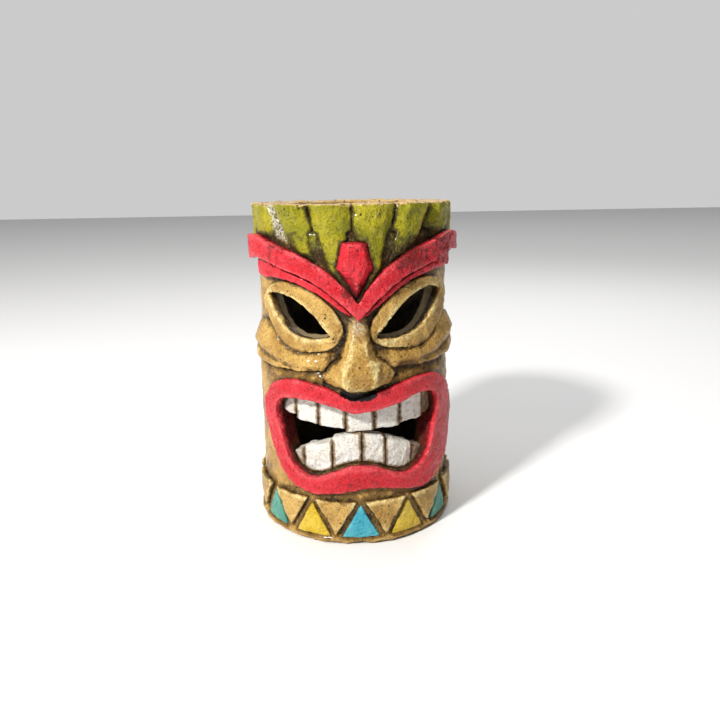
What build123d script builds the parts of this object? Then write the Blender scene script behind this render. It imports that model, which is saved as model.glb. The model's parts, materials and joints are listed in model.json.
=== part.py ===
from build123d import *
from math import cos, radians, sin
import os

# A cast tiki candle lantern in mug form, with a loose tea light inside it.
# Millimetres. The origin is the centre of the base, +Z is up and the face looks along -Y.
# An angle is taken around the axis from the middle of the face, positive towards +X.

# Driving dimensions of the casting
height = 165.0            # base to rim
head_radius = 48.0        # casting behind the brow, eyes and cheeks
wall = 9.5                # casting wall behind the head
crown_inset = 2.2         # the casting behind the leaves stands this much inside the head
head_bottom = 88.0
jaw_top = 84.0
jaw_step = 1.8            # the jaw stands this much outside the head
band_step = 2.4           # the ground of the base band stands this much outside the head
floor_thickness = 10.0
rim_round = 1.0           # softened inner edge of the rim
foot_relief = 2.4         # foot ring, and the raised facets, above the band's ground
foot_height = 3.0
foot_round = 1.2

# How far each carved layer stands above the casting behind it
brow_relief = 5.4         # at the middle of the face
brow_tip_relief = 5.9     # at the two square ends
brow_under_relief = 3.0
brow_groove = 0.9         # open groove between the brow and the thinner strip under it
eye_rim_relief = 2.8
gem_shoulder = 1.0        # the gem's sides are upright up to here
gem_relief = 4.8
cheek_brink = 0.2         # a cheek's upper edge, as a share of its ridge
cheek_belly = 0.8         # the bulge under the ridge, as a share of it
cheek_belly_height = 0.3  # and how far up from the cheek's lower edge
lip_relief = 3.0
triangle_relief = 1.2
tooth_setback = 3.4       # the teeth are sunk this far below the jaw
leaf_ridge_top = 2.8
leaf_ridge_low = 1.8
leaf_groove_low = 1.2
leaf_groove_depth = 3.6   # at the rim, below the ridge
leaf_flat = 0.5           # a leaf is nearly flat for this share of its width
leaf_shoulder_drop = 0.5  # and falls this much from its ridge there

# Crown
leaf_count = 14
leaf_turn = -3.0          # the groove nearest the middle of the face
leaf_shoulder = 153.0     # where a side or back leaf starts to narrow
leaf_tip = 145.0
leaf_foot = 112.0         # the front leaves run down behind the brow to here
crown_foot = 152.0        # the inset behind the leaves starts here
leaf_over = 180.0         # the leaves' blocks start above the rim, which trims them
leaf_fan = 0.36           # a front groove's angle low down, as a share of its angle at the rim

# Base band
band_top = 22.6
triangle_apex = 20.4
triangle_half_angle = 10.8
facet_groove = 2.4        # angle between the apex of a triangle and the facet beside it
facet_tip = 4.6
triangle_angles = (0.0, 28.0, 57.0, 88.0, 118.5, 149.0, 180.0, 211.0, 241.5, 272.0, 303.0, 332.0)

# Tea light
cup_diameter = 38.0
cup_height = 16.0
cup_wall = 0.5
cup_clearance = 0.3       # under the cup, so that it can be lifted off
wax_depth = 12.0
wax_dish = 1.2            # the top of the wax is slightly hollow
wick_diameter = 1.8
wick_above_wax = 7.0
clip_diameter = 12.0
clip_thickness = 0.6
clip_neck_height = 3.0
clip_neck_wall = 0.5

# The sheet that the face is drawn on
sheet_height = 165.0      # the drawing is stretched from this height to the real one
sheet_radius = 50.0
apex_back = 20.0          # side walls of the carving aim at a line this far behind the axis
eye_apex_back = 80.0      # the same for the walls of the eyes
mouth_apex_back = 40.0    # and of the mouth
near_plane = 2.0
far_plane = -66.0
deep = 3.0                # how far a layer is started below the surface before it is trimmed
gem_deep = 6.0
nose_deep = 9.0

crown_radius = head_radius - crown_inset
jaw_radius = head_radius + jaw_step
band_radius = head_radius + band_step
foot_radius = band_radius + foot_relief
cavity_radius = head_radius - wall
tooth_face = jaw_radius - tooth_setback


def level(z):
    """Height on the real body of a height on the drawing."""
    return z * height / sheet_height


def polar(angle, radius, z):
    """Point at an angle around the axis."""
    return Vector(radius * sin(radians(angle)), -radius * cos(radians(angle)), z)


def aimed(angle, z, plane_y, apex):
    """Where the carving's side wall through (angle, z) meets a plane across Y."""
    across = sheet_radius * sin(radians(angle))
    depth = sheet_radius * cos(radians(angle))
    return Vector(across * (apex - plane_y) / (apex + depth), plane_y, level(z))


def stroke(points, plane_y, apex, closed):
    """One drawn line: straight between two points, a smooth curve through more."""
    placed = [aimed(angle, z, plane_y, apex) for angle, z in points]
    if len(placed) == 2:
        return Edge.make_line(*placed)
    return Edge.make_spline(placed, periodic=closed)


def carve(*strokes, apex=apex_back):
    """Block inside drawn strokes that join end to end, or inside one closed curve."""
    wires = []
    for plane_y in (near_plane, far_plane):
        edges = [stroke(points, plane_y, apex, len(strokes) == 1) for points in strokes]
        wires.append(Wire(edges))
    return Solid.make_loft(wires, ruled=True)


def carve_polygon(*points):
    """Block inside a drawn polygon."""
    pairs = zip(points, points[1:] + points[:1])
    return carve(*[list(pair) for pair in pairs])


def turned(profile):
    """Solid of revolution of (radius, z) points."""
    face = make_face(Polyline(*[(radius, 0, z) for radius, z in profile], close=True))
    return revolve(face, Axis.Z, 360)


def drum(radius):
    """Full-height cylinder."""
    return Solid.make_cylinder(radius, height)


def slice_between(first, last):
    """Full-height wedge between two angles less than a half turn apart."""
    far = 3 * head_radius
    corners = [polar(angle, far, 0) for angle in (first, (first + last) / 2, last)]
    base = Wire.make_polygon([Vector(0, 0, 0)] + corners)
    return Solid.extrude(Face(base), Vector(0, 0, height))


def banded(sections):
    """Solid through flat polygons, straight from each to the next."""
    return Solid.make_loft([Wire.make_polygon(points) for points in sections], ruled=True)


def save(shape, node):
    export_step(shape, f"parts/{node}.step")


# Drawings, as (angle, height)
lip_outside = [
    (0, 76.0), (12, 79.3), (26, 82.0), (42, 84.3), (56, 83.0), (66, 77.5), (71.5, 68.0),
    (72.5, 57.0), (69, 45.0), (62, 35.0), (52, 28.0), (38, 25.4), (20, 27.8), (3, 30.3),
    (-14, 27.2), (-31, 23.8), (-43, 27.0), (-52, 36.0), (-58, 48.0), (-62.5, 61.0),
    (-64.5, 71.5), (-59, 80.0), (-46, 83.6), (-30, 82.8), (-13, 78.8),
]
lip_inside = [
    (0, 68.6), (13, 70.2), (27, 73.2), (41, 76.4), (49.5, 75.0), (51.5, 67.0), (48.5, 57.0),
    (45.5, 47.0), (39, 38.0), (30, 34.6), (17, 38.0), (2, 41.6), (-13, 38.9), (-27, 34.4),
    (-38, 37.0), (-44.5, 46.0), (-48.5, 57.0), (-53, 66.5), (-51, 73.2), (-40, 74.6),
    (-26, 73.6), (-12, 70.9),
]
eye_left = (
    [(-57, 123.0), (-45, 124.0), (-33, 121.2), (-23.5, 114.5), (-14.8, 105.0)],
    [(-14.8, 105.0), (-24, 103.6), (-36, 105.0), (-47, 111.5), (-57, 123.0)],
)
eye_right = (
    [(9.5, 104.4), (16, 112.2), (24, 119.8), (36, 125.6), (55, 123.4)],
    [(55, 123.4), (47, 114.6), (37, 107.6), (24, 104.0), (9.5, 104.4)],
)
eye_rim_left_outside = [
    (-63, 127.4), (-48, 130.2), (-34, 128.8), (-21, 123.6), (-11.5, 115.5), (-8, 106.5),
    (-11.5, 99.0), (-24, 95.4), (-37, 97.6), (-49, 104.6), (-59, 116.0),
]
eye_rim_right_outside = [
    (63, 127.8), (50, 131.4), (37, 131.2), (23, 126.8), (12.5, 118.2), (6.6, 109.0),
    (7.4, 101.2), (18, 97.2), (30, 97.6), (43, 101.6), (54, 110.2), (62, 119.6),
]
brow_upper_left = [
    (-82, 151.2), (-62, 151.0), (-46, 149.6), (-33, 146.2), (-21, 140.6), (-11, 133.2), (0, 120.6),
]
brow_upper_right = [
    (0, 120.6), (10, 134.2), (20, 142.2), (31, 148.0), (44, 151.2), (60, 151.8), (82, 151.4),
]
brow_lower_right = [
    (82, 142.4), (62, 142.4), (45, 141.4), (31, 137.6), (20, 131.8), (9, 122.6), (0, 113.0),
]
brow_lower_left = [
    (0, 113.0), (-10, 123.2), (-21, 131.2), (-34, 137.0), (-48, 140.0), (-64, 140.2), (-82, 139.6),
]
brow_end_angle = 75.0
under_left_lower = [(-3, 114.4), (-10, 118.2), (-20, 125.6), (-33, 130.6), (-48, 131.8), (-72, 133.0)]
under_left_upper = [(-72, 145.0), (-48, 144.0), (-33, 141.0), (-20, 135.0), (-10, 127.0), (-3, 118.5)]
under_right_lower = [(3, 114.4), (10, 119.2), (20, 126.8), (33, 133.0), (48, 134.9), (72, 135.4)]
under_right_upper = [(72, 146.0), (48, 146.0), (33, 142.0), (20, 136.0), (10, 128.0), (3, 118.5)]
under_end_angle = 68.0
above_brow = (
    (-80, 146.0), (-58, 145.6), (-40, 143.4), (-26, 138.0), (-12, 128.6), (0, 117.0),
    (12, 129.6), (26, 141.0), (40, 146.0), (58, 147.0), (80, 147.0), (80, 172.0), (-80, 172.0),
)

# gem: its outline at the back and that of its raised front, as (across, z)
gem_back = ((-7.6, 148.6), (4.6, 148.6), (7.6, 136.4), (-0.6, 122.0), (-9.8, 137.0))
gem_front = ((-3.6, 147.4), (2.2, 147.4), (4.2, 138.4), (-0.4, 129.0), (-6.2, 139.4))

# nose sections from the bridge down: height, half width at the back and front, relief
nose_sections = (
    (116.0, 4.8, 2.2, 1.4),
    (105.0, 6.4, 3.0, 4.6),
    (95.5, 8.8, 4.4, 7.4),
    (92.5, 13.5, 6.6, 8.8),
    (87.0, 17.4, 8.0, 9.8),
    (82.8, 15.6, 7.0, 8.6),
    (79.6, 7.5, 4.0, 5.4),
)

# cheek sections: angle, top, ridge height, ridge relief, bottom
cheek_left_sections = (
    (-8, 97.0, 94.5, 1.2, 91.5),
    (-19, 99.0, 91.0, 3.4, 87.4),
    (-35, 101.0, 90.8, 4.4, 86.2),
    (-50, 107.0, 94.0, 5.0, 85.4),
    (-65, 110.0, 98.5, 5.4, 84.4),
    (-77, 108.0, 98.0, 4.9, 85.0),
    (-87, 103.0, 97.0, 1.6, 90.0),
)
cheek_right_sections = (
    (8, 99.0, 96.0, 1.2, 92.0),
    (19, 99.5, 93.6, 3.4, 88.6),
    (35, 102.0, 94.0, 4.4, 87.8),
    (50, 108.0, 98.0, 5.0, 86.6),
    (65, 112.0, 103.0, 5.4, 86.0),
    (77, 110.0, 101.5, 4.9, 87.0),
    (87, 104.0, 99.0, 1.6, 92.0),
)

# teeth: edges of the row in angle, a root level behind the lip, which trims it, and the height
# of the free edge at both sides of each tooth
upper_edges = (-60.0, -40.5, -24.6, -8.0, 8.8, 25.0, 43.6, 62.0)
upper_root = 90.0
upper_free = (
    (64.6, 63.0), (61.2, 60.0), (59.6, 58.6), (57.4, 57.6), (58.2, 58.6), (59.6, 59.8), (61.0, 62.4),
)
lower_edges = (-60.0, -35.4, -16.2, 1.4, 15.8, 34.6, 62.0)
lower_root = 24.0
lower_free = ((37.0, 46.2), (47.4, 51.6), (53.4, 57.0), (56.8, 53.8), (53.2, 47.4), (46.4, 38.0))

# The casting
core = turned([
    (0, 0), (foot_radius - foot_round, 0), (foot_radius, foot_round), (foot_radius, level(foot_height)),
    (band_radius, level(foot_height)), (band_radius, level(band_top)),
    (jaw_radius, level(band_top) + (band_step - jaw_step) / 2), (jaw_radius, level(jaw_top)),
    (head_radius, level(head_bottom)), (head_radius, level(crown_foot)),
    (crown_radius, level(crown_foot) + crown_inset), (crown_radius, height), (0, height),
])
cavity = turned([
    (0, floor_thickness), (cavity_radius, floor_thickness), (cavity_radius, height - rim_round),
    (cavity_radius + rim_round, height), (cavity_radius + rim_round, height + deep), (0, height + deep),
])
mouth = carve(lip_inside, apex=mouth_apex_back)
eye_holes = [carve(*eye, apex=eye_apex_back) for eye in (eye_left, eye_right)]
body_shell = core - cavity - mouth - eye_holes[0] - eye_holes[1]

# Brow, gem and nose
brow_front = head_radius + brow_relief
brow_side = head_radius + brow_tip_relief
brow_drum = scale(drum(brow_front), by=(brow_side / brow_front, 1, 1))
brow_ends = slice_between(-brow_end_angle, brow_end_angle)
brow_block = carve(
    brow_upper_left, brow_upper_right, [brow_upper_right[-1], brow_lower_right[0]],
    brow_lower_right, brow_lower_left, [brow_lower_left[-1], brow_upper_left[0]],
)
brow_band = brow_block & brow_drum & brow_ends
brow_band = brow_band - core


def brow_under(lower, upper):
    block = carve(lower, [lower[-1], upper[0]], upper, [upper[-1], lower[0]])
    strip = block & drum(head_radius + brow_under_relief) & slice_between(-under_end_angle, under_end_angle)
    return strip - core - brow_band - brow_band.moved(Location((0, 0, -brow_groove)))


under_left = brow_under(under_left_lower, under_left_upper)
under_right = brow_under(under_right_lower, under_right_upper)


def flat_polygon(points, y):
    return [Vector(across, y, level(z)) for across, z in points]


gem = banded([
    flat_polygon(gem_back, -(head_radius - gem_deep)),
    flat_polygon(gem_back, -(head_radius + gem_shoulder)),
    flat_polygon(gem_front, -(head_radius + gem_relief)),
])
gem = gem - core - brow_band

nose_rings = []
for z, back_half, front_half, relief in nose_sections:
    back = -(head_radius - nose_deep)
    front = -(head_radius + relief)
    nose_rings.append([
        Vector(-back_half, back, level(z)), Vector(back_half, back, level(z)),
        Vector(back_half, -head_radius, level(z)), Vector(front_half, front, level(z)),
        Vector(-front_half, front, level(z)), Vector(-back_half, -head_radius, level(z)),
    ])
nose = banded(nose_rings) - core - brow_band - under_left - under_right

# Lips
lips = (carve(lip_outside) - mouth) & drum(jaw_radius + lip_relief)
lips = lips - core - nose


# Eye rims and cheeks
def eye_rim(outside, hole):
    block = (carve(outside) - hole) & drum(head_radius + eye_rim_relief)
    return block - core - brow_band - under_left - under_right - nose


rim_left = eye_rim(eye_rim_left_outside, eye_holes[0])
rim_right = eye_rim(eye_rim_right_outside, eye_holes[1])


def cheek(sections, rim):
    rings = []
    for angle, top, ridge, relief, bottom in sections:
        belly = bottom + cheek_belly_height * (ridge - bottom)
        rings.append([
            polar(angle, head_radius - deep, level(top)),
            polar(angle, head_radius + cheek_brink * relief, level(top)),
            polar(angle, head_radius + relief, level(ridge)),
            polar(angle, head_radius + cheek_belly * relief, level(belly)),
            polar(angle, head_radius - deep, level(bottom)),
        ])
    return banded(rings) - core - lips - nose - rim


cheek_left = cheek(cheek_left_sections, rim_left)
cheek_right = cheek(cheek_right_sections, rim_right)


# Crown of leaves
def leaf_wedge(first, last, low_first, low_last):
    """Ridged wedge between two grooves, from behind the brow to the rim."""
    rings = []
    groove_top = leaf_ridge_top - leaf_groove_depth
    for a, b, z, groove, ridge in (
        (low_first, low_last, level(leaf_foot), leaf_groove_low, leaf_ridge_low),
        (first, last, height, groove_top, leaf_ridge_top),
    ):
        middle = (a + b) / 2
        flat = leaf_flat * (b - a) / 2
        shoulder = head_radius + ridge - leaf_shoulder_drop
        rings.append([
            Vector(0, 0, z), polar(a, head_radius + groove, z), polar(middle - flat, shoulder, z),
            polar(middle, head_radius + ridge, z), polar(middle + flat, shoulder, z),
            polar(b, head_radius + groove, z),
        ])
    return banded(rings)


leaf_pitch = 360.0 / leaf_count
crown_zone = carve_polygon(*above_brow)
crown_front = 70.0        # grooves nearer the face than this fan out from the gem
leaves = []
for number in range(leaf_count):
    first = leaf_turn + leaf_pitch * (number - leaf_count // 2)
    last = first + leaf_pitch
    middle = (first + last) / 2
    if abs(middle) < crown_front:
        low_first = first * leaf_fan if abs(first) < crown_front else first
        low_last = last * leaf_fan if abs(last) < crown_front else last
        leaf = leaf_wedge(first, last, low_first, low_last) & crown_zone
    else:
        half = leaf_pitch / 2
        pointed = carve_polygon(
            (-half, leaf_over), (half, leaf_over),
            (half, leaf_shoulder), (0, leaf_tip), (-half, leaf_shoulder),
        )
        leaf = leaf_wedge(first, last, first, last) & pointed.rotate(Axis.Z, middle)
    leaves.append(leaf - core - brow_band - gem - under_left - under_right)


# Teeth
def tooth_row(edges, free, root):
    """Teeth side by side that fill the mouth from the root level to their free edges."""
    ring = drum(tooth_face) - drum(cavity_radius)
    row = []
    for number, (left, right) in enumerate(free):
        a, b = edges[number], edges[number + 1]
        block = carve_polygon((a, root), (b, root), (b, right), (a, left))
        row.append(block & ring & mouth)
    return row


upper_teeth = tooth_row(upper_edges, upper_free, upper_root)
lower_teeth = tooth_row(lower_edges, lower_free, lower_root)

# Base band
triangle_block = carve_polygon(
    (-triangle_half_angle, foot_height), (triangle_half_angle, foot_height), (0, triangle_apex),
)
triangle = (triangle_block & drum(band_radius + triangle_relief)) - core
base_triangles = [triangle.rotate(Axis.Z, angle) for angle in triangle_angles]

base_facets = []
for number, angle in enumerate(triangle_angles):
    following = triangle_angles[(number + 1) % len(triangle_angles)]
    span = (following - angle) % 360
    half = span / 2
    block = carve_polygon((facet_groove - half, band_top), (half - facet_groove, band_top), (0, facet_tip))
    facet = (block & drum(foot_radius)) - core
    base_facets.append(facet.rotate(Axis.Z, angle + half) - lips)

# Tea light
cup_bottom = floor_thickness + cup_clearance
cup_radius = cup_diameter / 2
cup_inside = cup_radius - cup_wall
wax_bottom = cup_bottom + cup_wall
wax_top = wax_bottom + wax_depth
wick_radius = wick_diameter / 2
clip_radius = clip_diameter / 2
neck_radius = wick_radius + clip_neck_wall

cup = turned([
    (0, cup_bottom), (cup_radius, cup_bottom), (cup_radius, cup_bottom + cup_height),
    (cup_inside, cup_bottom + cup_height), (cup_inside, wax_bottom), (0, wax_bottom),
])
wick_clip = turned([
    (wick_radius, wax_bottom), (clip_radius, wax_bottom), (clip_radius, wax_bottom + clip_thickness),
    (neck_radius, wax_bottom + clip_thickness), (neck_radius, wax_bottom + clip_neck_height),
    (wick_radius, wax_bottom + clip_neck_height),
])
wick = Solid.make_cylinder(wick_radius, wax_depth + wick_above_wax, Plane((0, 0, wax_bottom)))
wax = turned([
    (0, wax_bottom), (cup_inside, wax_bottom), (cup_inside, wax_top), (0, wax_top - wax_dish),
])
wax = wax - wick_clip - wick

# Files
os.makedirs("parts", exist_ok=True)
save(body_shell, "body_shell")
save(brow_band, "brow_band")
save(under_left, "brow_under_left")
save(under_right, "brow_under_right")
save(gem, "forehead_gem")
save(rim_left, "eye_rim_left")
save(rim_right, "eye_rim_right")
save(cheek_left, "cheek_left")
save(cheek_right, "cheek_right")
save(nose, "nose")
save(lips, "lips")
for number, leaf in enumerate(leaves, 1):
    save(leaf, f"crown_leaf_{number:02d}")
for number, tooth in enumerate(upper_teeth, 1):
    save(tooth, f"upper_tooth_{number}")
for number, tooth in enumerate(lower_teeth, 1):
    save(tooth, f"lower_tooth_{number}")
for number, triangle in enumerate(base_triangles, 1):
    save(triangle, f"base_triangle_{number:02d}")
save(Compound(children=base_facets), "base_facets")
save(cup, "tea_light_cup")
save(wax, "tea_light_wax")
save(wick, "tea_light_wick")
save(wick_clip, "tea_light_wick_clip")
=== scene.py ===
import json
import math

import bmesh
import bpy
import numpy as np
from mathutils import Matrix, Vector
from mathutils.bvhtree import BVHTree

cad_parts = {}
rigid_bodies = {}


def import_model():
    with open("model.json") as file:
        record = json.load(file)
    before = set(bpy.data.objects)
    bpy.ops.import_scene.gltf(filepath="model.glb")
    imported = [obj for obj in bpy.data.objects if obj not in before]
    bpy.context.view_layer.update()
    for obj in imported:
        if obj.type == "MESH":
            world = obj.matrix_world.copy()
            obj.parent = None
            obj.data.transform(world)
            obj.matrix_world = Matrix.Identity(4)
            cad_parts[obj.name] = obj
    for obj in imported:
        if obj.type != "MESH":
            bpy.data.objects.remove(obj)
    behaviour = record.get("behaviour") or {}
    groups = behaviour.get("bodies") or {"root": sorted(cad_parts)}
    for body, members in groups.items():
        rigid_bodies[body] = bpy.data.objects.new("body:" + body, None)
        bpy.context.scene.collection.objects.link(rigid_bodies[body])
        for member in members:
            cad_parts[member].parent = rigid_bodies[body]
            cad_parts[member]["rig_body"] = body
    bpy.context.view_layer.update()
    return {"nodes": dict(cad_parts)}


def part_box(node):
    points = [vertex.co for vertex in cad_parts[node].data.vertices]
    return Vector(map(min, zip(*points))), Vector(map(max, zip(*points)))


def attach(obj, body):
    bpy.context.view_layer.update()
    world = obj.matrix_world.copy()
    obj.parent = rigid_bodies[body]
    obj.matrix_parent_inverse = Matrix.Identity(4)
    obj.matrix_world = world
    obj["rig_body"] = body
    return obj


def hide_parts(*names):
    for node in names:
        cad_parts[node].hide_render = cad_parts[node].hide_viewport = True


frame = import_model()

mm = 0.001
nodes = frame["nodes"]
casting = [n for n in nodes if nodes[n]["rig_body"] == "lantern"]


def surfaceOf(names):
    bm = bmesh.new()
    for name in names:
        bm.from_mesh(nodes[name].data)
    tree = BVHTree.FromBMesh(bm)
    bm.free()
    return tree


shellSurface = surfaceOf(["body_shell"])
lipSurface = surfaceOf(["lips"])
toothSurface = surfaceOf([n for n in casting if "_tooth_" in n])
shellLow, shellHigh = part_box("body_shell")
lipLow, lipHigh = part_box("lips")
eyeLow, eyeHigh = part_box("eye_rim_left")
rimHeight = shellHigh.z


def backRadius(z):
    farBack = Vector((0, 0.5, z))
    return shellSurface.ray_cast(farBack, Vector((0, -1, 0)))[0].y


headRadius = backRadius((eyeLow.z + eyeHigh.z) / 2)
jawRadius = backRadius((lipLow.z + lipHigh.z) / 2)
wellRadius = shellSurface.ray_cast(Vector((0, 0, rimHeight / 2)), Vector((0, 1, 0)))[0].y


view = {"distance": 0.3409, "height": 0.1725, "heading": -0.05, "pitch": 0.262, "roll": -0.0155,
        "lens": 32.4, "sensor": 36.0, "shift": 0.009, "nearest": 0.01}


def placeCamera(spec):
    cameraData = bpy.data.cameras.new("viewCamera")
    cameraData.sensor_width = spec["sensor"]
    cameraData.lens = spec["lens"]
    cameraData.shift_x = spec["shift"]
    cameraData.clip_start = spec["nearest"]
    camera = bpy.data.objects.new("viewCamera", cameraData)
    turn = Matrix.Rotation(spec["heading"], 4, "Z")
    tilt = Matrix.Rotation(math.pi / 2 - spec["pitch"], 4, "X")
    lean = Matrix.Rotation(spec["roll"], 4, "Z")
    place = Matrix.Translation((spec["distance"] * math.sin(spec["heading"]),
                                -spec["distance"] * math.cos(spec["heading"]), spec["height"]))
    camera.matrix_world = place @ turn @ tilt @ lean
    bpy.context.scene.collection.objects.link(camera)
    bpy.context.scene.camera = camera


lamps = {
    "keyLight": {"at": (-0.65, -0.70, 0.80), "size": 0.12, "power": 19.0, "tint": (1.0, 0.98, 0.94)},
    "rimLight": {"at": (0.35, 0.65, 0.75), "size": 0.30, "power": 2.0, "tint": (1.0, 1.0, 1.0)},
    "topLight": {"at": (0.0, 0.2, 3.0), "size": 3.0, "power": 30.0, "tint": (1.0, 1.0, 1.0)},
}
lampAim = (0, 0, 0.08)
studio = {"behind": 0.60, "inFront": 0.16, "right": 0.25, "depthFade": (-0.5, 0.4), "sideFade": (0.5, 0.9)}
floorFinish = {"grey": (0.80, 0.80, 0.80, 1), "rough": 0.9, "halfSide": 4.0, "gap": 0.4 * mm}


def placeLamps():
    aim = Vector(lampAim)
    for name, spec in lamps.items():
        lampData = bpy.data.lights.new(name, "AREA")
        lampData.size = spec["size"]
        lampData.energy = spec["power"]
        lampData.color = spec["tint"]
        lamp = bpy.data.objects.new(name, lampData)
        lamp.location = spec["at"]
        lamp.rotation_euler = (aim - Vector(spec["at"])).to_track_quat("-Z", "Y").to_euler()
        bpy.context.scene.collection.objects.link(lamp)


def skyFade(tree, value, limits, levels):
    node = tree.nodes.new("ShaderNodeMapRange")
    node.interpolation_type = "SMOOTHSTEP"
    for key, amount in zip(("From Min", "From Max", "To Min", "To Max"), (*limits, *levels)):
        node.inputs[key].default_value = amount
    tree.links.new(value, node.inputs["Value"])
    return node.outputs["Result"]


def lightStudio(spec):  # bright behind the mug, dimmer in front of it and on its right
    world = bpy.data.worlds.new("studio")
    world.use_nodes = True
    tree = world.node_tree
    around = tree.nodes.new("ShaderNodeTexCoord")
    parts = tree.nodes.new("ShaderNodeSeparateXYZ")
    tree.links.new(around.outputs["Generated"], parts.inputs["Vector"])
    depth = skyFade(tree, parts.outputs["Y"], spec["depthFade"], (spec["inFront"], spec["behind"]))
    side = skyFade(tree, parts.outputs["X"], spec["sideFade"], (1.0, spec["right"]))
    level = tree.nodes.new("ShaderNodeMath")
    level.operation = "MULTIPLY"
    tree.links.new(depth, level.inputs[0])
    tree.links.new(side, level.inputs[1])
    tree.links.new(level.outputs[0], tree.nodes["Background"].inputs["Strength"])
    tree.nodes["Background"].inputs["Color"].default_value = (1, 1, 1, 1)
    bpy.context.scene.world = world
    bpy.context.scene.view_settings.view_transform = "Standard"


def meshObject(name, bm):
    mesh = bpy.data.meshes.new(name)
    bm.to_mesh(mesh)
    bm.free()
    piece = bpy.data.objects.new(name, mesh)
    bpy.context.scene.collection.objects.link(piece)
    return piece


def layFloor(spec):
    bm = bmesh.new()
    bmesh.ops.create_grid(bm, x_segments=2, y_segments=2, size=spec["halfSide"])
    floor = meshObject("studioFloor", bm)
    floor.data.transform(Matrix.Translation((0, 0, shellLow.z - spec["gap"])))
    paint = bpy.data.materials.new("paleFloor")
    paint.use_nodes = True
    shader = paint.node_tree.nodes["Principled BSDF"]
    shader.inputs["Base Color"].default_value = spec["grey"]
    shader.inputs["Roughness"].default_value = spec["rough"]
    floor.data.materials.append(paint)


placeCamera(view)
placeLamps()
lightStudio(studio)
layFloor(floorFinish)
print("camera, lights and floor are set")


pinhole = {"reach": 0.9, "largest": 0.34, "brink": (-0.02, 0.06)}  # in shares of a cell


class NodeSheet:
    def __init__(self, name):
        self.material = bpy.data.materials.new(name)
        self.material.use_nodes = True
        self.tree = self.material.node_tree
        self.shader = self.tree.nodes["Principled BSDF"]
        self.place = self.add("ShaderNodeTexCoord").outputs["Object"]

    def add(self, kind, settings=None, **sockets):
        node = self.tree.nodes.new(kind)
        for key, value in (settings or {}).items():
            setattr(node, key, value)
        for key, value in sockets.items():
            self.feed(node, key.replace("_", " "), value)
        return node

    def feed(self, node, key, value):
        if isinstance(value, bpy.types.NodeSocket):
            self.tree.links.new(value, node.inputs[key])
        else:
            node.inputs[key].default_value = value

    def noise(self, size, detail=2.0, rough=0.5):
        node = self.add("ShaderNodeTexNoise", Vector=self.place, Scale=1.0 / size, Detail=detail,
                        Roughness=rough)
        return node.outputs["Fac"]

    def attribute(self, name):
        return self.add("ShaderNodeAttribute", {"attribute_name": name}).outputs["Fac"]

    def math(self, operation, first, second):
        node = self.tree.nodes.new("ShaderNodeMath")
        node.operation = operation
        self.feed(node, 0, first)
        self.feed(node, 1, second)
        return node.outputs[0]

    def ramp(self, value, low, high, bottom=0.0, top=1.0):
        node = self.add("ShaderNodeMapRange", {"interpolation_type": "SMOOTHSTEP"}, Value=value)
        for key, amount in (("From Min", low), ("From Max", high), ("To Min", bottom), ("To Max", top)):
            node.inputs[key].default_value = amount
        return node.outputs["Result"]

    def mix(self, amount, first, second):  # by number, because a Mix node's sockets share their names
        node = self.add("ShaderNodeMix", {"data_type": "RGBA"})
        self.feed(node, 0, amount)
        for key, colour in ((6, first), (7, second)):
            self.feed(node, key, (*colour, 1) if isinstance(colour, tuple) else colour)
        return node.outputs[2]

    def pinholes(self, size, share):  # round pits in a share of the cells
        cells = self.add("ShaderNodeTexVoronoi", Vector=self.place, Scale=1.0 / size)
        chance = self.add("ShaderNodeSeparateColor", Color=cells.outputs["Color"])
        radius = self.math("MULTIPLY", self.math("SUBTRACT", share, chance.outputs["Red"]), pinhole["reach"])
        radius = self.math("MINIMUM", radius, pinhole["largest"])
        return self.ramp(self.math("SUBTRACT", radius, cells.outputs["Distance"]), *pinhole["brink"])

    def bump(self, height, depth, onto=None):
        node = self.add("ShaderNodeBump", Height=height, Strength=1.0, Distance=depth)
        if onto is not None:
            self.tree.links.new(onto, node.inputs["Normal"])
        return node.outputs["Normal"]


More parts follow.
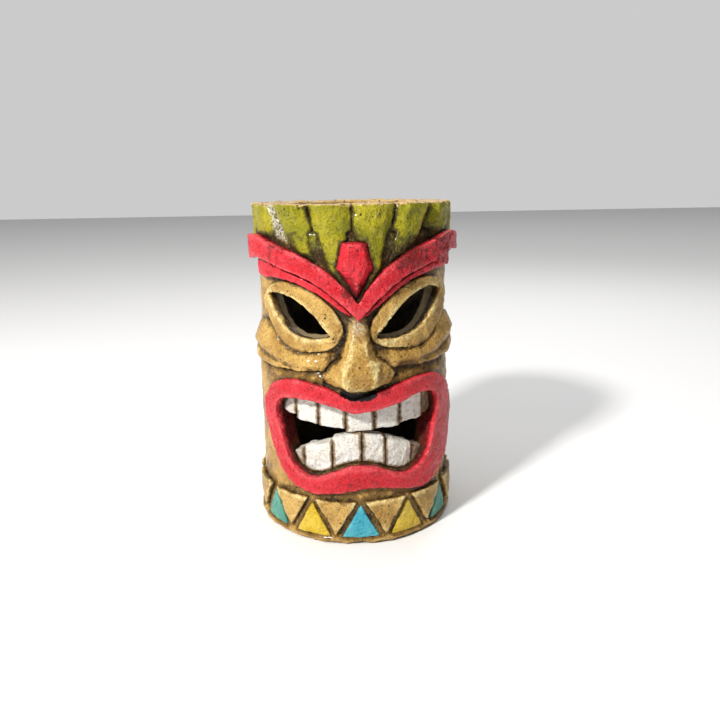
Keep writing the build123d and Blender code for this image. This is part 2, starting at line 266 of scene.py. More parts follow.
# In each paint the last three colours stand in for light: the two dark ones fill creases, recesses and joints
# between parts as painted shade, with some antiquing wash and dirt, and the light one is painted highlight on
# ridges and raised parts, with some dry-brushed wear.
paints = {
    "tan_stone": {"base": (0.44, 0.245, 0.055), "pale": (0.74, 0.47, 0.135), "dark": (0.19, 0.098, 0.020),
                  "shadeWash": (0.185, 0.100, 0.022), "shadeGrime": (0.040, 0.021, 0.007), "edge": (0.98, 0.80, 0.36),
                  "rough": (0.24, 0.44), "varnish": 0.25, "pits": 0.42},
    "red_paint": {"base": (0.64, 0.014, 0.026), "pale": (0.76, 0.034, 0.052), "dark": (0.36, 0.012, 0.014),
                  "shadeWash": (0.19, 0.012, 0.012), "shadeGrime": (0.050, 0.012, 0.009), "edge": (0.88, 0.13, 0.15),
                  "rough": (0.22, 0.40), "varnish": 0.28, "pits": 0.36},
    "green_paint": {"base": (0.255, 0.250, 0.007), "pale": (0.50, 0.42, 0.022), "dark": (0.105, 0.095, 0.005),
                    "shadeWash": (0.085, 0.070, 0.010), "shadeGrime": (0.030, 0.020, 0.006), "edge": (0.66, 0.58, 0.08),
                    "rough": (0.24, 0.46), "varnish": 0.30, "pits": 0.44},
    "white_paint": {"base": (0.85, 0.82, 0.74), "pale": (0.95, 0.94, 0.90), "dark": (0.55, 0.44, 0.28),
                    "shadeWash": (0.34, 0.22, 0.11), "shadeGrime": (0.060, 0.034, 0.016), "edge": (0.96, 0.95, 0.92),
                    "rough": (0.28, 0.5), "varnish": 0.25, "pits": 0.14},
    "blue_paint": {"base": (0.050, 0.42, 0.56), "pale": (0.15, 0.57, 0.66), "dark": (0.020, 0.20, 0.28),
                   "shadeWash": (0.050, 0.090, 0.080), "shadeGrime": (0.035, 0.030, 0.016), "edge": (0.30, 0.66, 0.72),
                   "rough": (0.30, 0.5), "varnish": 0.20, "pits": 0.22},
    "teal_paint": {"base": (0.075, 0.33, 0.25), "pale": (0.20, 0.50, 0.38), "dark": (0.025, 0.15, 0.11),
                   "shadeWash": (0.045, 0.070, 0.045), "shadeGrime": (0.030, 0.028, 0.014), "edge": (0.34, 0.60, 0.48),
                   "rough": (0.30, 0.5), "varnish": 0.20, "pits": 0.22},
    "yellow_paint": {"base": (0.74, 0.50, 0.025), "pale": (0.88, 0.66, 0.12), "dark": (0.42, 0.24, 0.010),
                     "shadeWash": (0.16, 0.095, 0.012), "shadeGrime": (0.060, 0.036, 0.008), "edge": (0.90, 0.74, 0.26),
                     "rough": (0.30, 0.5), "varnish": 0.20, "pits": 0.22},
}
rawStone = {"cream": (0.70, 0.47, 0.19), "speck": (0.16, 0.07, 0.03)}
# painted shade inside the well: near black, with olive patches by noise
wellShade = {"deepShade": (0.014, 0.010, 0.006), "olive": (0.060, 0.046, 0.016)}
# the red paint on the mouth's side walls, darkened as painted shade
mouthRedShade = (0.17, 0.016, 0.014)
eyeWallTan = (0.40, 0.32, 0.19)
bareWhite = (0.56, 0.53, 0.43)
toothBrown = (0.26, 0.16, 0.08)
leafPale = (0.260, 0.250, 0.010)
leafShade = (0.105, 0.098, 0.006)
lacquerBlack = (0.006, 0.005, 0.006)


noises = {  # size, detail and roughness
    "blotch": (12 * mm, 3.0), "stroke": (3.0 * mm, 4.0, 0.65), "grain": (0.9 * mm, 3.0, 0.7),
    "patch": (17 * mm, 2.0), "crumb": (1.5 * mm, 2.0),
}
masks = {  # the two ends on what the mask reads, then its strengths there where they aren't 0 and 1
    "pale": (0.32, 0.76), "dark": (0.54, 0.74, 0.0, 0.75), "wearAndHighlight": (0.62, 0.36, 0.25, 1.0),
    "uneven": (0.3, 0.7, -0.20, 0.20), "shadeWash": (0.16, 0.55, 0.0, 0.92), "leaf": (0.2, 0.9),
    "shadeGrime": (0.62, 0.98), "patch": (0.42, 0.60, 0.25, 1.0), "speck": (0.44, 0.33, 0.0, 0.7),
    "fleck": (0.60, 0.70, 0.0, 0.45), "crumb": (0.58, 0.63), "chip": (0.44, 0.54),
    "stain": (0.3, 0.6, 0.6, 1.0), "olive": (0.4, 0.65), "black": (0.45, 0.6),
}
surface = {"hole": 1.7 * mm, "holeDepth": 0.35 * mm, "grainDepth": 1.0 * mm, "strokeDepth": 2.2 * mm,
           "specular": 0.15, "varnishRough": 0.16}
noiseSpan = (0.3, 0.7)  # nearly all of a noise lies between these
cloudSpan = (0.4, 0.7)


def paintColour(sheet, spec, blotch, stroke, grain, holes):
    def share(value, mask):
        return sheet.ramp(value, *masks[mask])

    def part(layer, amount):
        return sheet.math("MULTIPLY", sheet.attribute(layer), amount)

    uneven = share(stroke, "uneven")
    # how much painted shade a point takes, with some dirt, made uneven by brush noise
    shaded = sheet.math("ADD", sheet.attribute("shadeGrime"), uneven)
    leaf = sheet.mix(share(shaded, "leaf"), leafPale, leafShade)
    bare = sheet.mix(share(sheet.noise(*noises["crumb"]), "crumb"), rawStone["cream"], rawStone["speck"])
    inner = sheet.mix(share(blotch, "olive"), wellShade["deepShade"], wellShade["olive"])
    dabbed = sheet.math("ADD", sheet.attribute("black"), uneven)
    colour = sheet.mix(share(blotch, "pale"), spec["base"], spec["pale"])
    colour = sheet.mix(share(stroke, "dark"), colour, spec["dark"])
    # painted highlight on ridges and raised parts, with some dry-brushed wear
    colour = sheet.mix(part("edge", share(stroke, "wearAndHighlight")), colour, spec["edge"])
    # painted shade: the wash colour in recesses, then the grime colour in deep creases and joints, with some
    # antiquing wash and dirt
    colour = sheet.mix(share(shaded, "shadeWash"), colour, spec["shadeWash"])
    colour = sheet.mix(sheet.attribute("leafGround"), colour, leaf)
    colour = sheet.mix(share(shaded, "shadeGrime"), colour, spec["shadeGrime"])
    # the pinhole pits take the grime colour, as painted shade inside them
    colour = sheet.mix(holes, colour, spec["shadeGrime"])
    colour = sheet.mix(share(grain, "speck"), colour, spec["dark"])
    colour = sheet.mix(share(grain, "fleck"), colour, spec["edge"])
    colour = sheet.mix(sheet.attribute("raw"), colour, bare)
    colour = sheet.mix(part("bare", share(grain, "chip")), colour, bareWhite)
    colour = sheet.mix(part("stain", share(stroke, "stain")), colour, toothBrown)
    colour = sheet.mix(sheet.attribute("eyeWall"), colour, eyeWallTan)
    # the mouth's side walls in a darker red, as painted shade
    colour = sheet.mix(sheet.attribute("mouthWall"), colour, mouthRedShade)
    # painted shade inside the well
    colour = sheet.mix(sheet.attribute("hollow"), colour, inner)
    return sheet.mix(share(dabbed, "black"), colour, lacquerBlack)


def stonePaint(name, spec):
    sheet = NodeSheet(name)
    blotch = sheet.noise(*noises["blotch"])
    stroke = sheet.noise(*noises["stroke"])
    grain = sheet.noise(*noises["grain"])
    patch = sheet.ramp(sheet.noise(*noises["patch"]), *masks["patch"])
    holes = sheet.pinholes(surface["hole"], sheet.math("MULTIPLY", patch, spec["pits"]))
    sheet.feed(sheet.shader, "Base Color", paintColour(sheet, spec, blotch, stroke, grain, holes))
    sheet.feed(sheet.shader, "Roughness", sheet.ramp(stroke, *noiseSpan, *spec["rough"]))
    sheet.shader.inputs["Specular IOR Level"].default_value = surface["specular"]
    sheet.shader.inputs["Coat Weight"].default_value = spec["varnish"]
    sheet.shader.inputs["Coat Roughness"].default_value = surface["varnishRough"]
    normal = sheet.bump(grain, surface["grainDepth"])
    normal = sheet.bump(stroke, surface["strokeDepth"], normal)
    normal = sheet.bump(sheet.math("SUBTRACT", 1.0, holes), surface["holeDepth"], normal)
    sheet.feed(sheet.shader, "Normal", normal)
    return sheet.material


materials = {name: stonePaint(name, spec) for name, spec in paints.items()}
print("paints are mixed")


def smoothstep(values, low, high):
    share = np.clip((values - low) / (high - low), 0.0, 1.0)
    return share * share * (3.0 - 2.0 * share)


reliefGrid = {"turns": 480, "rows": 220, "fine": 2.0 * mm, "broad": 6.0 * mm, "belowHead": 1.5 * mm,
              "blurReach": 2.5}


def readRelief(spec):
    tree = surfaceOf(casting)
    floor = headRadius - spec["belowHead"]
    relief = np.full((spec["rows"], spec["turns"]), floor)
    for row in range(spec["rows"]):
        z = rimHeight * (row + 0.5) / spec["rows"]
        for column in range(spec["turns"]):
            turn = 2 * math.pi * column / spec["turns"]
            outward = Vector((math.sin(turn), -math.cos(turn), 0))
            hit = tree.ray_cast(outward * 2 * headRadius + Vector((0, 0, z)), -outward)[0]
            if hit is not None:
                relief[row, column] = max(floor, hit.x * outward.x + hit.y * outward.y)
    return relief


def blur(relief, size, spec):
    steps = {1: 2 * math.pi * headRadius / spec["turns"], 0: rimHeight / spec["rows"]}
    for axis, step in steps.items():
        count = int(spec["blurReach"] * size / step) + 1
        shifts = np.arange(-count, count + 1)
        weights = np.exp(-0.5 * (shifts * step / size) ** 2)
        padded = np.pad(relief, ((count, count), (0, 0)), "edge") if axis == 0 else relief
        total = sum(w * np.roll(padded, s, axis) for s, w in zip(shifts, weights)) / weights.sum()
        relief = total[count:-count] if axis == 0 else total
    return relief


def sample(relief, turn, z):
    rows, turns = relief.shape
    column = turn / (2 * math.pi) * turns
    lastRow = rows - 1.001  # just short, so that there is a row above it
    row = np.clip(z / rimHeight * rows - 0.5, 0, lastRow)
    left = np.floor(column).astype(int)
    below = row.astype(int)
    across = column - left
    up = row - below
    lower = relief[below, left % turns] * (1 - across) + relief[below, (left + 1) % turns] * across
    upper = relief[below + 1, left % turns] * (1 - across) + relief[below + 1, (left + 1) % turns] * across
    return lower * (1 - up) + upper * up


relief = readRelief(reliefGrid)
fineRelief = blur(relief, reliefGrid["fine"], reliefGrid)
broadRelief = blur(relief, reliefGrid["broad"], reliefGrid)
print("relief is read")


def near(tree, points, reach):
    found = np.zeros(len(points))
    for index, point in enumerate(points):
        hit = tree.find_nearest(Vector(point), reach)
        if hit[0] is not None:
            found[index] = 1.0 - hit[3] / reach
    return found


def meshArrays(mesh):
    points = np.empty(len(mesh.vertices) * 3)
    mesh.vertices.foreach_get("co", points)
    normals = np.empty(len(mesh.vertices) * 3)
    mesh.vertices.foreach_get("normal", normals)
    edges = np.empty(len(mesh.edges) * 2, dtype=np.int64)
    mesh.edges.foreach_get("vertices", edges)
    return points.reshape(-1, 3), normals.reshape(-1, 3), edges.reshape(-1, 2)


def bend(points, normals, edges, rounds):  # positive in a hollow, negative on a ridge
    count = len(points)
    ends = np.bincount(edges.ravel(), minlength=count)
    soft = points.copy()
    for _ in range(rounds):
        total = np.empty_like(soft)
        for axis in range(3):
            total[:, axis] = (np.bincount(edges[:, 0], soft[edges[:, 1], axis], count)
                              + np.bincount(edges[:, 1], soft[edges[:, 0], axis], count))
        soft = 0.5 * soft + 0.5 * total / ends[:, None]
    return ((soft - points) * normals).sum(axis=1)


def alongLine(turn, z, line):  # distance on the surface to a line of (degrees, millimetres)
    best = np.full(len(turn), rimHeight)
    across = turn * headRadius
    stops = [np.array((math.radians(degrees) * headRadius, height * mm)) for degrees, height in line]
    for start, end in zip(stops, stops[1:]):
        way = end - start
        share = np.clip(((across - start[0]) * way[0] + (z - start[1]) * way[1]) / (way @ way), 0, 1)
        gap = np.hypot(across - start[0] - share * way[0], z - start[1] - share * way[1])
        best = np.minimum(best, gap)
    return best


gouges = {
    "cheek_left": {"line": ((-80, 96), (-65, 93.5), (-45, 89.5), (-24, 88.4)), "width": 2.2, "depth": 1.4},
    "cheek_right": {"line": ((80, 99), (65, 97), (45, 92.0), (24, 90.4)), "width": 2.2, "depth": 1.4},
}
crown = {"degrees": (0, 10, 20, 32, 46, 82), "foot": (118, 131, 139.5, 145, 148.4, 149.5), "soft": 2.0,
         "side": (60, 74)}
bareGroove = {"line": ((-55, 166), (-49, 155), (-39, 141)), "width": 4.0}
blackDabs = {"line": ((-8.5, 78.2), (-4, 76.6), (5, 76.4), (8, 77.8)), "width": 3.0}
blackSpot = {"line": ((-19.5, 82.6), (-18.5, 82.0)), "width": 2.0}
bridgeScuff = {"z": 110, "size": 3.4}
stains = {"upper_tooth_7": 1.0, "lower_tooth_6": 0.9, "upper_tooth_1": 0.3, "lower_tooth_1": 0.4}
darkSpots = (  # degrees, height, size and strength of soft dark blobs: painted shade on the sides and under features, with some dirt
    (-3, 127, 6, 0.55), (0, 151, 5, 0.5), (-46, 146, 7, 0.4), (-22, 140, 6, 0.35), (30, 146, 6, 0.35),
    (10, 105, 4, 0.5), (-10, 105, 4, 0.5), (78, 134, 9, 0.7), (-80, 132, 7, 0.6), (-62, 82, 6, 0.5),
    (62, 83, 6, 0.55), (80, 60, 18, 0.5), (-80, 55, 16, 0.45), (-70, 26, 8, 0.5), (74, 27, 9, 0.6),
    (0, 30, 12, 0.3), (82, 16, 10, 0.5), (26, 140, 10, 0.5), (52, 147, 10, 0.45), (-76, 146, 4, 0.3),
)
effectRamps = {  # where each effect starts and is full, in millimetres from the surface that it is measured from
    "crease": (0.25, 1.5), "shadeWash": (0.3, 3.0), "proud": (0.3, 1.6), "skin": (-3.6, -2.6), "front": (0.0, 4.0),
    "rim": (-2.6, -1.0), "well": (-1.4, -0.5), "wellTop": (-5.0, 0.0), "mouthDepth": (0.7, 1.2),
    "eyeDepth": (0.6, 1.4), "holeFoot": (0.0, 1.0), "holeTop": (0.0, 2.0), "mouthPaint": (16.0, 24.0),
}
bends = {"rounds": 8, "hollow": (0.03, 0.30), "ridge": (0.05, 0.45), "levelTop": (0.1, 0.6)}
toothReach = {"root": 4.0 * mm, "teeth": 5.0 * mm}
eyeWallShare = 0.85


def fade(values, effect, start=0.0):
    low, high = effectRamps[effect]
    return smoothstep(values, start + low * mm, start + high * mm)


def crownShare(turn, z):  # 1 among the front leaves above the brow, 0 elsewhere
    degrees = np.abs(np.degrees(turn))
    foot = np.interp(degrees, crown["degrees"], crown["foot"]) * mm
    return smoothstep(z, foot, foot + crown["soft"] * mm) * (1 - smoothstep(degrees, *crown["side"]))


class Skin:  # a piece's points in the terms that paint, dirt, painted shade and painted highlight are placed by
    def __init__(self, piece, spec):
        points, self.normals, edges = meshArrays(piece.data)
        self.mesh = piece.data
        self.points = points
        self.radius = np.hypot(points[:, 0], points[:, 1])
        self.turn = np.arctan2(points[:, 0], -points[:, 1])
        self.z = points[:, 2]
        self.front = fade(-points[:, 1], "front")
        self.outside = fade(self.radius, "skin", headRadius)
        self.curve = bend(points, self.normals, edges, bends["rounds"]) / spec["voxel"]
        self.depth = sample(fineRelief, self.turn, self.z) - self.radius

    def store(self, layer, values):
        attribute = self.mesh.attributes.new(layer, "FLOAT", "POINT")
        attribute.data.foreach_set("value", np.clip(values, 0.0, 1.0).astype(np.float32))


def paintedShade(skin, name, spec):  # how much painted shade each point takes from its neighbours, creases, recesses and dark spots, with some dirt and antiquing wash
    others = surfaceOf([n for n in casting if n != name])
    sunk = sample(broadRelief, skin.turn, skin.z) - skin.radius
    # painted shade near other pieces and near the teeth, in creases, in broad recesses, in hollows and on the
    # teeth under the lips
    seam = near(others, skin.points, spec["seamReach"] * mm) * spec["seam"]
    seam = np.maximum(seam, near(toothSurface, skin.points, toothReach["teeth"]) * spec["teeth"])
    unshaded = 1 - seam
    unshaded *= 1 - fade(skin.depth, "crease") * skin.outside * spec["crease"]
    unshaded *= 1 - fade(sunk, "shadeWash") * skin.outside * spec["shadeWash"]
    unshaded *= 1 - smoothstep(skin.curve, *bends["hollow"]) * spec["bent"]
    unshaded *= 1 - near(lipSurface, skin.points, toothReach["root"]) * spec["root"]
    # soft dark blobs, painted shade on the sides and under features, with some dirt
    for degrees, height, size, strength in darkSpots:
        across = (skin.turn - math.radians(degrees)) * headRadius
        gap = np.hypot(across, skin.z - height * mm) / (size * mm)
        unshaded *= 1 - strength * spec["spotDarkening"] * np.exp(-gap ** 2) * skin.outside
    return 1 - unshaded


def holeWall(skin, effect, radius, low, high):
    wall = skin.front * fade(-skin.radius, effect, -radius)
    return wall * fade(skin.z, "holeFoot", low.z) * fade(-skin.z, "holeTop", -high.z)


def bareShare(skin, name, leaf):
    width = bareGroove["width"] * mm
    groove = 1 - smoothstep(alongLine(skin.turn, skin.z, bareGroove["line"]), 0.5 * width, width)
    scuff = np.hypot(skin.points[:, 0], skin.z - bridgeScuff["z"] * mm) / (bridgeScuff["size"] * mm)
    bridge = 1.0 if name in ("nose", "body_shell") else 0.0
    return groove * leaf + np.exp(-scuff ** 2) * bridge * skin.front * skin.outside


def blackShare(skin, name):
    black = np.zeros(len(skin.z))
    if name in ("body_shell", "lips"):
        for dab in (blackDabs, blackSpot):
            gap = alongLine(skin.turn, skin.z, dab["line"])
            black = np.maximum(black, 1 - smoothstep(gap, 0, dab["width"] * mm))
    return black


def storeMarks(piece, name, spec):
    skin = Skin(piece, spec)
    shell = 1.0 if name == "body_shell" else 0.0
    top = fade(skin.z, "rim", rimHeight) * smoothstep(skin.normals[:, 2], *bends["levelTop"])
    ridge = smoothstep(-skin.curve, *bends["ridge"])
    well = fade(-skin.radius, "well", -wellRadius)
    mouth = holeWall(skin, "mouthDepth", jawRadius, lipLow, lipHigh)
    eye = holeWall(skin, "eyeDepth", headRadius, eyeLow, eyeHigh)
    ground = crownShare(skin.turn, skin.z) * shell * skin.outside
    leaf = 1.0 if name.startswith("crown_leaf") else ground
    # painted shade with some dirt, kept off the raw rim top
    skin.store("shadeGrime", paintedShade(skin, name, spec) * (1.0 - top))
    # painted highlight on ridges and raised parts, with some dry-brushed wear
    skin.store("edge", np.maximum(ridge, fade(-skin.depth, "proud") * skin.outside) * spec["edge"])
    skin.store("raw", top)
    # the inside of the well, for its painted shade
    skin.store("hollow", well * (1.0 - fade(skin.z, "wellTop", rimHeight)))
    # the mouth's side walls, for their darker red painted shade
    skin.store("mouthWall", mouth * shell * fade(skin.z, "mouthPaint", lipLow.z))
    skin.store("eyeWall", eye * shell * eyeWallShare)
    skin.store("leafGround", ground)
    skin.store("bare", bareShare(skin, name, leaf))
    skin.store("stain", np.full(len(skin.z), stains.get(name, 0.0)))
    skin.store("black", blackShare(skin, name))


textureKinds = {
    "swell": {"kind": "CLOUDS", "size": 9 * mm},
    "chips": {"kind": "CLOUDS", "size": 2.4 * mm},
    "chisel": {"kind": "VORONOI", "size": 6 * mm},
}


def makeTexture(name, spec):
    texture = bpy.data.textures.new(name, spec["kind"])
    texture.noise_scale = spec["size"]
    return texture


textures = {name: makeTexture(name, spec) for name, spec in textureKinds.items()}
seat = {"reach": 0.3 * mm, "upright": 0.5, "weld": 0.001 * mm}


def sinkSeat(bm, depth):  # a relief's back goes into the casting, so that no gap shows under it
    for vert in bm.verts:
        spot, facing = shellSurface.find_nearest(vert.co, seat["reach"])[:2]
        if spot is not None and abs(facing.z) < seat["upright"]:
            reach = math.hypot(vert.co.x, vert.co.y)
            vert.co.x *= (reach - depth) / reach
            vert.co.y *= (reach - depth) / reach


def gouge(mesh, spec):  # a fold pressed into a cheek
    points = meshArrays(mesh)[0]
    turn = np.arctan2(points[:, 0], -points[:, 1])
    gap = alongLine(turn, points[:, 2], spec["line"]) / (spec["width"] * mm)
    radius = np.hypot(points[:, 0], points[:, 1])
    lower = np.maximum(radius - spec["depth"] * mm * np.exp(-gap ** 2), np.minimum(radius, headRadius))
    points[:, :2] *= (lower / radius)[:, None]
    mesh.vertices.foreach_set("co", points.ravel())
    mesh.update()


def carve(name, paint, spec):
    bm = bmesh.new()
    bm.from_mesh(nodes[name].data)
    bmesh.ops.remove_doubles(bm, verts=bm.verts, dist=seat["weld"])
    if spec["sink"]:
        sinkSeat(bm, spec["sink"] * mm)
    piece = meshObject(name + ".carved", bm)
    remesh = piece.modifiers.new("voxels", "REMESH")
    remesh.mode = "VOXEL"
    remesh.voxel_size = spec["voxel"] * mm
    smooth = piece.modifiers.new("soften", "SMOOTH")
    smooth.factor = 0.5
    smooth.iterations = spec["soften"]
    for key in ("swell", "chisel", "chips"):
        push = piece.modifiers.new(key, "DISPLACE")
        push.texture = textures[key]
        push.texture_coords = "LOCAL"
        push.strength = spec[key] * mm
        push.mid_level = 0.5
    seen = bpy.context.evaluated_depsgraph_get()
    made = bpy.data.meshes.new_from_object(piece.evaluated_get(seen))
    piece.modifiers.clear()
    piece.data = made
    made.name = piece.name
    made.polygons.foreach_set("use_smooth", [True] * len(made.polygons))
    made.materials.clear()
    made.materials.append(materials[paint])
    if name in gouges:
        gouge(made, gouges[name])
    storeMarks(piece, name, spec)
    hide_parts(name)
    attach(piece, "lantern")


# Most of these values set how much painted shade a piece takes, near other pieces, in creases, recesses and
# hollows and under the lips, and edge sets its painted highlight.
shellCut = {"voxel": 1.15, "soften": 2, "swell": 1.0, "chisel": 0.8, "chips": 0.6, "sink": 0,
            "seam": 0.8, "seamReach": 2.6, "crease": 0.4, "shadeWash": 0.8, "bent": 0.0, "root": 0.0, "teeth": 1.1,
            "spotDarkening": 1.0, "edge": 0.5}
reliefCut = {"voxel": 0.5, "soften": 5, "swell": 1.0, "chisel": 0.8, "chips": 0.7, "sink": 2.6,
             "seam": 0.9, "seamReach": 2.2, "crease": 0.75, "shadeWash": 0.8, "bent": 0.6, "root": 0.0,
             "teeth": 0.0, "spotDarkening": 1.0, "edge": 0.9}
redCut = dict(reliefCut, swell=0.8, chisel=0.5, chips=0.6, seamReach=1.2, crease=0.7, shadeWash=0.3, edge=0.6)
lipCut = dict(redCut, teeth=1.0)
noseCut = dict(reliefCut, soften=14, edge=2.1)
leafCut = dict(reliefCut, voxel=0.6, soften=4, sink=3.0, seam=0.85, seamReach=1.8, crease=0.9, shadeWash=0.6)
toothCut = dict(reliefCut, soften=9, chisel=0.6, chips=0.5, sink=0, seam=1.1, seamReach=2.2, crease=0.0,
                shadeWash=0.0, root=0.9, spotDarkening=0.0, edge=0.5)
triangleCut = dict(reliefCut, soften=3, swell=0.5, chisel=0.3, chips=0.5, seam=0.7, seamReach=0.6, crease=0.0,
                   shadeWash=0.0, spotDarkening=0.3, edge=0.6)


def carveCasting():
    carve("body_shell", "tan_stone", shellCut)
    carve("lips", "red_paint", lipCut)
    for name in ("brow_band", "brow_under_left", "brow_under_right", "forehead_gem"):
        carve(name, "red_paint", redCut)
    for name in ("eye_rim_left", "eye_rim_right", "cheek_left", "cheek_right", "base_facets"):
        carve(name, "tan_stone", reliefCut)
    carve("nose", "tan_stone", noseCut)
    for name in casting:
        if name.startswith("crown_leaf"):
            carve(name, "green_paint", leafCut)
        elif "_tooth_" in name:
            carve(name, "white_paint", toothCut)
        elif name.startswith("base_triangle"):
            number = int(name[-2:])
            paint = "teal_paint" if number % 2 else "yellow_paint"
            if number == 1:
                paint = "blue_paint"
            carve(name, paint, triangleCut)


carveCasting()
print("casting is carved and painted")


def metalFinish(name, spec):
    sheet = NodeSheet(name)
    scuff = sheet.noise(spec["scuff"], detail=4.0, rough=0.6)
    sheet.shader.inputs["Base Color"].default_value = (*spec["colour"], 1)
    sheet.shader.inputs["Metallic"].default_value = 1.0
    sheet.feed(sheet.shader, "Roughness", sheet.ramp(scuff, *noiseSpan, *spec["rough"]))
    sheet.feed(sheet.shader, "Normal", sheet.bump(scuff, spec["scuffDepth"]))
    return sheet.material


def softFinish(name, spec):
    sheet = NodeSheet(name)
    cloud = sheet.ramp(sheet.noise(spec["cloud"], detail=3.0), *cloudSpan)
    sheet.feed(sheet.shader, "Base Color", sheet.mix(cloud, spec["colour"], spec["deep"]))
    sheet.shader.inputs["Roughness"].default_value = spec["rough"]
    sheet.shader.inputs["Subsurface Weight"].default_value = spec["glow"]
    sheet.shader.inputs["Subsurface Scale"].default_value = spec["glowReach"]
    grain = sheet.noise(spec["grain"], detail=3.0)
    sheet.feed(sheet.shader, "Normal", sheet.bump(grain, spec["grainDepth"]))
    return sheet.material


def drum(nodeName, segments):
    low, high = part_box(nodeName)
    radius = high.x
    bm = bmesh.new()
    bmesh.ops.create_cone(bm, cap_ends=True, segments=segments, radius1=radius, radius2=radius,
                          depth=high.z - low.z, matrix=Matrix.Translation((0, 0, (low.z + high.z) / 2)))
    return bm, low, high


def topFace(bm):
    return max(bm.faces, key=lambda face: face.calc_center_median().z)


def pushFace(bm, face, rise):
    made = bmesh.ops.extrude_discrete_faces(bm, faces=[face])["faces"][0]
    bmesh.ops.translate(bm, verts=made.verts, vec=(0, 0, rise))
    return made


def roundEdges(bm, edges, offset, segments):
    bmesh.ops.bevel(bm, geom=edges, offset=offset, offset_type="OFFSET", segments=segments, profile=0.5,
                    affect="EDGES", material=-1)


def sharpEdges(bm, angle):
    return [e for e in bm.edges if len(e.link_faces) == 2 and e.calc_face_angle() > angle]


def finish(bm, nodeName, material):
    bmesh.ops.recalc_face_normals(bm, faces=bm.faces)
    piece = meshObject(nodeName + ".made", bm)
    piece.data.polygons.foreach_set("use_smooth", [True] * len(piece.data.polygons))
    piece.data.materials.append(material)
    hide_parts(nodeName)
    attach(piece, "tea_light")


cup = {"segments": 192, "fluteEvery": 3, "fluteDepth": 0.3 * mm, "wall": 0.5 * mm, "foot": 1.2 * mm,
       "lip": 1.1 * mm, "footRound": 0.5 * mm, "lipRound": 0.2 * mm, "corner": 0.6, "touch": 0.01 * mm,
       "finish": {"colour": (0.83, 0.83, 0.85), "rough": (0.22, 0.42), "scuff": 4 * mm,
                  "scuffDepth": 0.06 * mm}}


def flute(bm, spec, low, high):  # presses the ribs into the cup's outer wall
    outerWall = high.x - 0.5 * spec["wall"]
    bottom = low.z + 0.5 * spec["foot"]
    top = high.z - 0.5 * spec["lip"]
    for vert in bm.verts:
        radius = math.hypot(vert.co.x, vert.co.y)
        step = round(math.atan2(vert.co.y, vert.co.x) / (2 * math.pi) * spec["segments"])
        if bottom < vert.co.z < top and radius > outerWall and step % spec["fluteEvery"] == 0:
            vert.co.x *= 1 - spec["fluteDepth"] / radius
            vert.co.y *= 1 - spec["fluteDepth"] / radius


def makeCup(spec):
    bm, low, high = drum("tea_light_cup", spec["segments"])
    face = topFace(bm)
    bmesh.ops.inset_individual(bm, faces=[face], thickness=spec["wall"])
    pushFace(bm, face, spec["wall"] - (high.z - low.z))
    for z in (low.z + spec["foot"], high.z - spec["lip"]):
        everything = bm.verts[:] + bm.edges[:] + bm.faces[:]
        bmesh.ops.bisect_plane(bm, geom=everything, plane_co=(0, 0, z), plane_no=(0, 0, 1))
    flute(bm, spec, low, high)
    footEdges = [e for e in bm.edges if abs(sum(v.co.z for v in e.verts) / 2 - low.z) < spec["touch"]]
    roundEdges(bm, footEdges, spec["footRound"], 3)
    lipZone = high.z - spec["touch"]
    lipEdges = [e for e in sharpEdges(bm, spec["corner"]) if min(v.co.z for v in e.verts) > lipZone]
    roundEdges(bm, lipEdges, spec["lipRound"], 2)
    finish(bm, "tea_light_cup", metalFinish("cup_aluminium", spec["finish"]))


wax = {"segments": 96, "steps": ((0.5, 0.25), (1.2, 0.3), (4.0, 0.35), (6.0, 0.25)),
       "finish": {"colour": (0.90, 0.87, 0.79), "deep": (0.84, 0.80, 0.70), "cloud": 5 * mm, "rough": 0.38,
                  "grain": 1.2 * mm, "grainDepth": 0.08 * mm, "glow": 0.35, "glowReach": 2 * mm}}


def makeWax(spec):  # the top is a shallow dish, one inset ring after another
    bm = drum("tea_light_wax", spec["segments"])[0]
    face = topFace(bm)
    for width, drop in spec["steps"]:
        bmesh.ops.inset_individual(bm, faces=[face], thickness=width * mm, depth=-drop * mm)
    finish(bm, "tea_light_wax", softFinish("candle_wax", spec["finish"]))


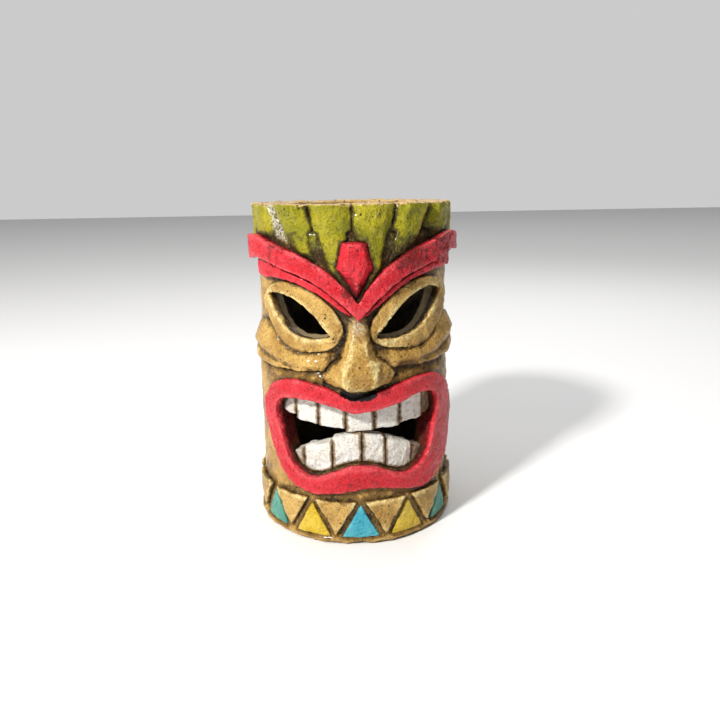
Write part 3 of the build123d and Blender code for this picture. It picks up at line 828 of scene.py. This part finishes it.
wick = {"segments": 24, "cuts": 60, "strands": 3, "lobe": 0.14, "twist": 1400.0, "lean": 1.2 * mm,
        "endRound": 0.15 * mm, "endCorner": 1.2,
        "finish": {"colour": (0.84, 0.80, 0.70), "deep": (0.66, 0.60, 0.48), "cloud": 5 * mm, "rough": 0.85,
                   "grain": 0.3 * mm, "grainDepth": 0.08 * mm, "glow": 0.0, "glowReach": 2 * mm}}


def makeWick(spec):
    bm, _, high = drum("tea_light_wick", spec["segments"])
    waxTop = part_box("tea_light_wax")[1].z
    uprights = [e for e in bm.edges if abs(e.verts[0].co.z - e.verts[1].co.z) > mm]
    bmesh.ops.subdivide_edges(bm, edges=uprights, cuts=spec["cuts"])
    roundEdges(bm, sharpEdges(bm, spec["endCorner"]), spec["endRound"], 2)
    for vert in bm.verts:
        turn = math.atan2(vert.co.y, vert.co.x)
        lobe = 1 - spec["lobe"] * (0.5 + 0.5 * math.cos(spec["strands"] * turn + spec["twist"] * vert.co.z))
        free = max(0.0, (vert.co.z - waxTop) / (high.z - waxTop))
        vert.co.x = vert.co.x * lobe + spec["lean"] * free ** 2
        vert.co.y *= lobe
    finish(bm, "tea_light_wick", softFinish("wick_cotton", spec["finish"]))


clip = {"segments": 48, "plate": 0.6 * mm, "neckWall": 0.5 * mm, "bore": 0.9 * mm, "boreFloor": 0.5 * mm,
        "edge": 0.12 * mm, "corner": 0.6,
        "finish": {"colour": (0.56, 0.57, 0.59), "rough": (0.3, 0.5), "scuff": 4 * mm,
                   "scuffDepth": 0.06 * mm}}


def makeClip(spec):  # a round plate with a short tube that grips the wick
    bm, low, high = drum("tea_light_wick_clip", spec["segments"])
    tall = high.z - low.z
    face = topFace(bm)
    bmesh.ops.translate(bm, verts=face.verts, vec=(0, 0, spec["plate"] - tall))
    bmesh.ops.inset_individual(bm, faces=[face], thickness=high.x - spec["bore"] - spec["neckWall"])
    face = pushFace(bm, face, tall - spec["plate"])
    bmesh.ops.inset_individual(bm, faces=[face], thickness=spec["neckWall"])
    pushFace(bm, face, spec["boreFloor"] - tall)
    roundEdges(bm, sharpEdges(bm, spec["corner"]), spec["edge"], 2)
    finish(bm, "tea_light_wick_clip", metalFinish("clip_steel", spec["finish"]))


makeCup(cup)
makeWax(wax)
makeWick(wick)
makeClip(clip)
print("tea light is made")
